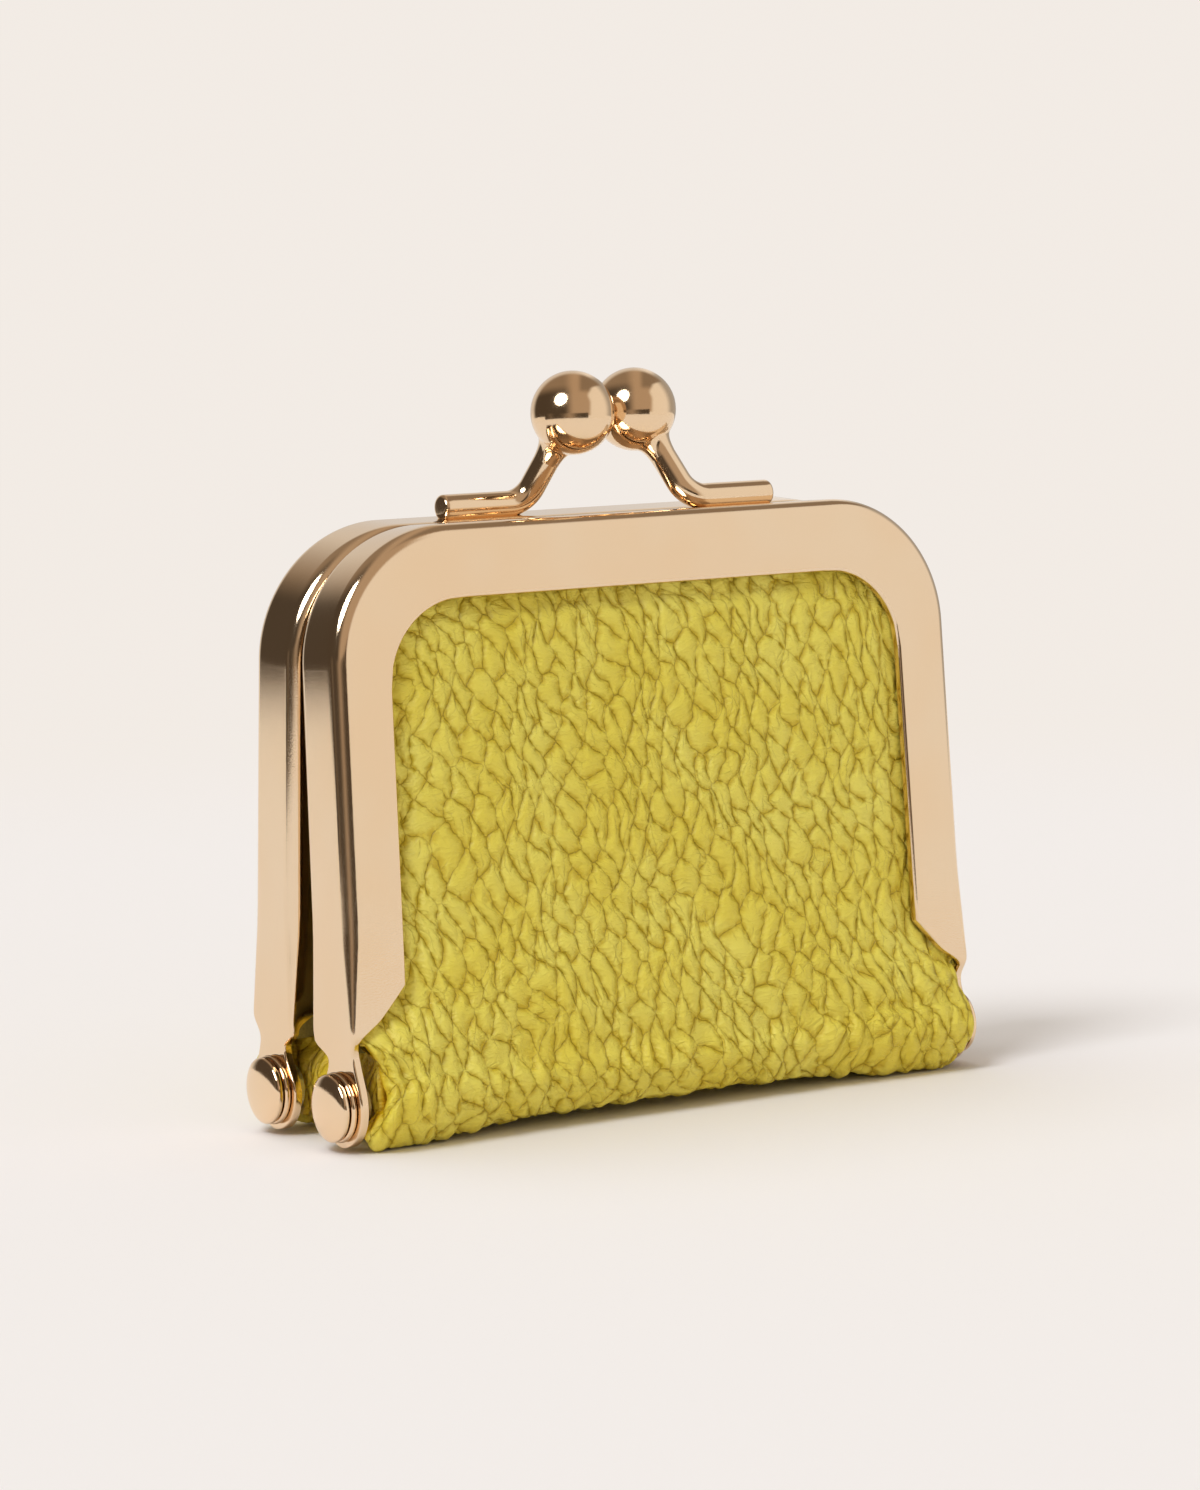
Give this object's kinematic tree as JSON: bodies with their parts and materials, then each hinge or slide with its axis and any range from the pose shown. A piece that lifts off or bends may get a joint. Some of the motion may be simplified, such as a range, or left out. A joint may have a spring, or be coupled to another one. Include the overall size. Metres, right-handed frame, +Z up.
{
  "type": "jewelry pouch",
  "caption": "Small upright kiss-lock pouch: arched metal frames hinged at the base around a soft leather pocket, closed by a crossing ball clasp.",
  "frame": {"origin": "middle of the flat underside of the leather base, on the surface that the pouch stands on", "axes": "+Z up, +X along the frame's width to the viewer's right when the front is faced, -Y out of the front face"},
  "size_m": [0.0834, 0.0234, 0.0799],
  "materials": {
    "frame_gold": "pressed sheet with bright pale rose-gold plating",
    "clasp_gold": "polished pale rose-gold plating",
    "rivet_gold": "bright pale rose-gold plating",
    "lime_leather": "soft pebbled leather dyed lime yellow, satin",
    "suede_lining": "matte microsuede",
    "stiff_board": "matte grey board",
    "paper_cord": "twisted paper",
    "link_steel": "plain strip"
  },
  "bodies": {
    "base": {"base_leather": "lime_leather", "base_board": "stiff_board", "base_lining": "suede_lining", "left_gusset": "lime_leather", "right_gusset": "lime_leather", "left_gusset_lining": "suede_lining", "right_gusset_lining": "suede_lining", "left_hinge_link": "link_steel", "right_hinge_link": "link_steel", "front_left_rivet": "rivet_gold", "front_right_rivet": "rivet_gold", "rear_left_rivet": "rivet_gold", "rear_right_rivet": "rivet_gold", "front_left_rivet_washer": "rivet_gold", "front_right_rivet_washer": "rivet_gold", "rear_left_rivet_washer": "rivet_gold", "rear_right_rivet_washer": "rivet_gold", "front_left_rivet_spacer": "rivet_gold", "front_right_rivet_spacer": "rivet_gold", "rear_left_rivet_spacer": "rivet_gold", "rear_right_rivet_spacer": "rivet_gold"},
    "front_half": {"front_frame": "frame_gold", "front_clasp_post": "clasp_gold", "front_clasp_ball": "clasp_gold", "front_leather_panel": "lime_leather", "front_board": "stiff_board", "front_lining": "suede_lining", "front_packing_cord": "paper_cord"},
    "rear_half": {"rear_frame": "frame_gold", "rear_clasp_post": "clasp_gold", "rear_clasp_ball": "clasp_gold", "rear_leather_panel": "lime_leather", "rear_board": "stiff_board", "rear_lining": "suede_lining", "rear_packing_cord": "paper_cord"}
  },
  "joints": [
    {"name": "front_frame_hinge", "type": "hinge", "parent": "base", "child": "front_half", "pos_m": [0, -0.007, 0.0047], "axis": [1, 0, 0], "range_deg": [0, 50]},
    {"name": "rear_frame_hinge", "type": "hinge", "parent": "base", "child": "rear_half", "pos_m": [0, 0.007, 0.0047], "axis": [-1, 0, 0], "range_deg": [0, 50]}
  ]
}
